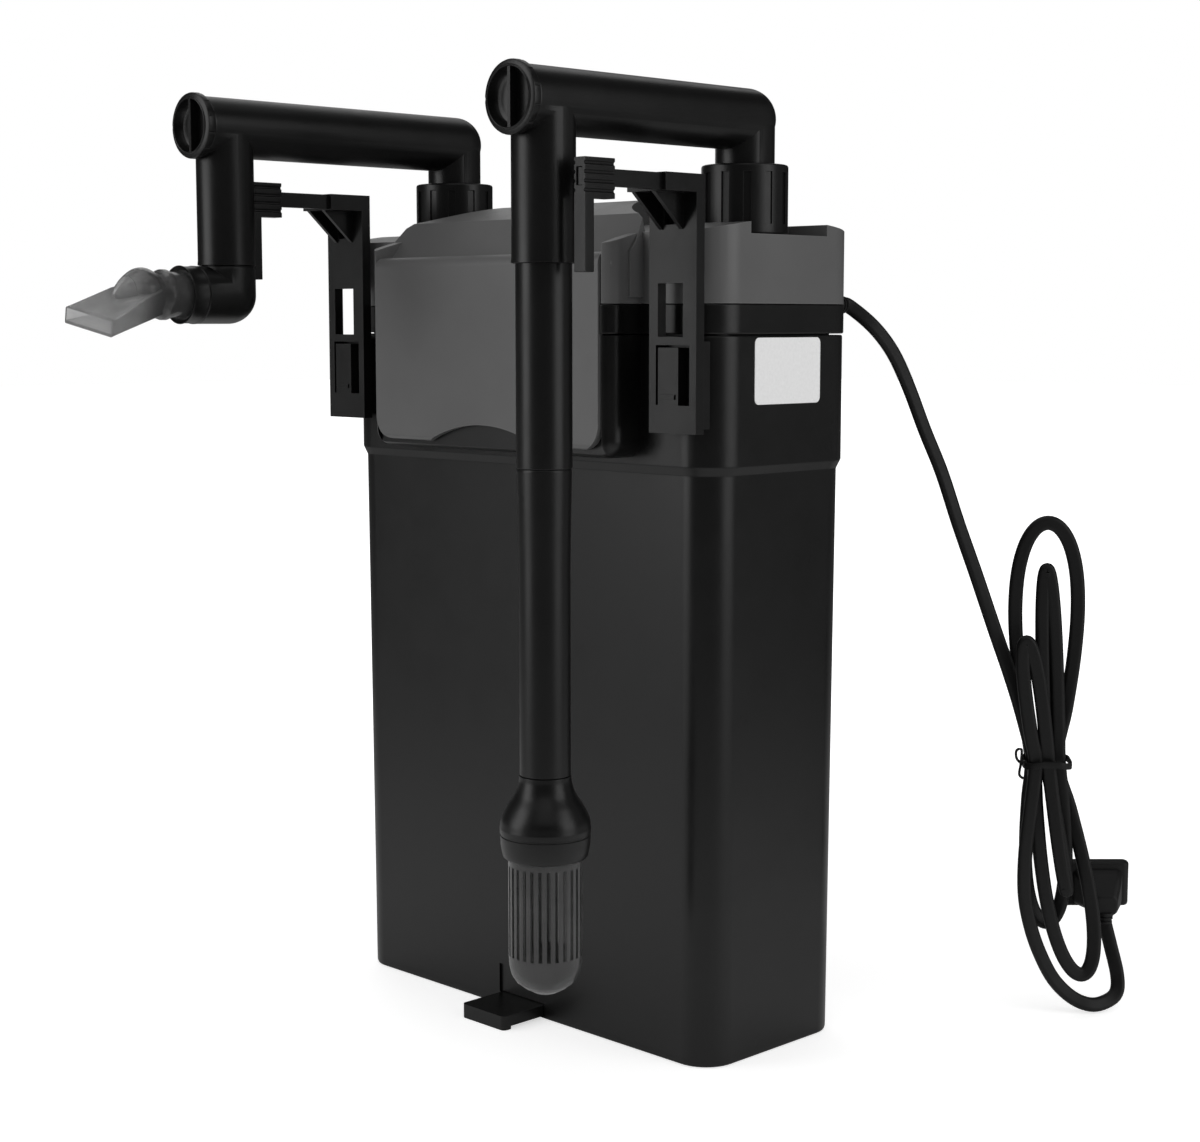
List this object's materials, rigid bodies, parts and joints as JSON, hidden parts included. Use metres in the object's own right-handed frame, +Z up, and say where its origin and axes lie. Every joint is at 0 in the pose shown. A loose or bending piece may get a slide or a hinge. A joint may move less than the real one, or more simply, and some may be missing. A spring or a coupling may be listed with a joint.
{
  "type": "canister filter",
  "caption": "Hang-on canister filter: clamped motor head on a tall barrel, over-the-wall intake with slotted strainer, flat return nozzle, adjustable hangers and mains lead.",
  "frame": {"origin": "middle of the underside of the barrel", "axes": "+Z up; +X towards the intake side; -Y towards the tank wall the filter hangs on"},
  "size_m": [0.3259, 0.404, 0.4339],
  "materials": {
    "black_plastic": "satin moulded",
    "grey_plastic": "satin moulded, fine grain",
    "smoke_plastic": "translucent smoke",
    "dark_smoke": "translucent dark smoke",
    "rubber": "matte",
    "steel": "brushed",
    "lamination": "dull laminated",
    "coil": "enamelled winding",
    "magnet": "overmoulded magnet",
    "ivory_plastic": "moulded",
    "ceramic": "polished",
    "media_ceramic": "porous",
    "sponge": "open-cell foam",
    "floss": "felted",
    "brass": "bright",
    "label": "satin film"
  },
  "bodies": {
    "canister": {"barrel": "black_plastic", "rating_plate": "label", "head_base": "black_plastic", "head_cover": "grey_plastic", "cover_screws": "steel", "main_seal": "rubber", "latch_pins": "steel", "stator_core": "lamination", "stator_coil": "coil", "rotor_shaft": "ceramic", "shaft_bushes": "rubber", "impeller_cover": "black_plastic", "inlet_drop_tube": "black_plastic", "basket_lower": "black_plastic", "basket_middle": "black_plastic", "basket_upper": "black_plastic", "coarse_sponge": "sponge", "ceramic_media": "media_ceramic", "polishing_pad": "floss", "pipe_orings": "rubber", "cable_gland": "rubber", "power_cable": "rubber", "cable_tie": "rubber", "plug_body": "rubber", "plug_blades": "brass"},
    "front_flap": {"front_latch": "grey_plastic"},
    "rear_flap": {"rear_latch": "grey_plastic"},
    "rotor": {"rotor_magnet": "magnet", "impeller": "ivory_plastic"},
    "intake_nut": {"intake_union_nut": "black_plastic"},
    "outlet_nut": {"outlet_union_nut": "black_plastic"},
    "intake_arm": {"intake_pipe": "black_plastic"},
    "intake_stopper": {"intake_cap": "black_plastic"},
    "intake_stem": {"intake_mid_tube": "black_plastic", "intake_low_tube": "black_plastic", "strainer_neck": "black_plastic", "strainer_cage": "dark_smoke"},
    "outlet_arm": {"outlet_pipe": "black_plastic"},
    "outlet_stopper": {"outlet_cap": "black_plastic"},
    "outlet_bend": {"outlet_elbow": "black_plastic"},
    "outlet_ring": {"nozzle_ring": "black_plastic"},
    "outlet_nozzle": {"nozzle": "smoke_plastic"},
    "hanger_left": {"left_hanger": "black_plastic"},
    "hanger_right": {"right_hanger": "black_plastic"},
    "hook_left": {"left_hook": "black_plastic"},
    "hook_right": {"right_hook": "black_plastic"},
    "foot": {"spacer_foot": "black_plastic"}
  },
  "joints": [
    {"name": "front_latch_swing", "type": "hinge", "parent": "canister", "child": "front_flap", "pos_m": [0, -0.065, 0.3555], "axis": [-1, 0, 0], "range_deg": [0, 95]},
    {"name": "rear_latch_swing", "type": "hinge", "parent": "canister", "child": "rear_flap", "pos_m": [0, 0.065, 0.3555], "axis": [1, 0, 0], "range_deg": [0, 95]},
    {"name": "rotor_spin", "type": "hinge", "parent": "canister", "child": "rotor", "pos_m": [-0.02, 0, 0.33], "axis": [0, 0, 1], "continuous": true},
    {"name": "intake_nut_turn", "type": "hinge", "parent": "canister", "child": "intake_nut", "pos_m": [0.098, 0, 0.38], "axis": [0, 0, 1], "range_deg": [0, 60]},
    {"name": "outlet_nut_turn", "type": "hinge", "parent": "canister", "child": "outlet_nut", "pos_m": [-0.098, 0, 0.38], "axis": [0, 0, 1], "range_deg": [0, 60]},
    {"name": "intake_swivel", "type": "hinge", "parent": "canister", "child": "intake_arm", "pos_m": [0.098, 0, 0.38], "axis": [0, 0, 1], "range_deg": [-35, 0]},
    {"name": "outlet_swivel", "type": "hinge", "parent": "canister", "child": "outlet_arm", "pos_m": [-0.098, 0, 0.38], "axis": [0, 0, 1], "range_deg": [-75, 0]},
    {"name": "intake_cap_twist", "type": "hinge", "parent": "intake_arm", "child": "intake_stopper", "pos_m": [0.098, -0.1365, 0.419], "axis": [0, 1, 0], "range_deg": [0, 45]},
    {"name": "outlet_cap_twist", "type": "hinge", "parent": "outlet_arm", "child": "outlet_stopper", "pos_m": [-0.098, -0.154, 0.419], "axis": [0, 1, 0], "range_deg": [0, 45]},
    {"name": "intake_stem_slide", "type": "slide", "parent": "intake_arm", "child": "intake_stem", "axis": [0, 0, 1], "range_m": [0, 0.02]},
    {"name": "outlet_bend_swivel", "type": "hinge", "parent": "outlet_arm", "child": "outlet_bend", "pos_m": [-0.098, -0.14, 0.3425], "axis": [0, 0, 1], "range_deg": [-60, 60]},
    {"name": "nozzle_ring_turn", "type": "hinge", "parent": "outlet_bend", "child": "outlet_ring", "pos_m": [-0.098, -0.162, 0.3425], "axis": [0, 1, 0], "range_deg": [0, 45]},
    {"name": "nozzle_roll", "type": "hinge", "parent": "outlet_bend", "child": "outlet_nozzle", "pos_m": [-0.098, -0.162, 0.3425], "axis": [0, 1, 0], "range_deg": [-45, 45]},
    {"name": "left_hanger_slide", "type": "slide", "parent": "canister", "child": "hanger_left", "axis": [0, 0, 1], "range_m": [0, 0.01]},
    {"name": "right_hanger_slide", "type": "slide", "parent": "canister", "child": "hanger_right", "axis": [0, 0, 1], "range_m": [0, 0.01]},
    {"name": "left_hook_slide", "type": "slide", "parent": "hanger_left", "child": "hook_left", "axis": [0, 1, 0], "range_m": [0, 0.028]},
    {"name": "right_hook_slide", "type": "slide", "parent": "hanger_right", "child": "hook_right", "axis": [0, 1, 0], "range_m": [0, 0.028]},
    {"name": "foot_slide", "type": "slide", "parent": "canister", "child": "foot", "axis": [0, 1, 0], "range_m": [0, 0.018]}
  ]
}
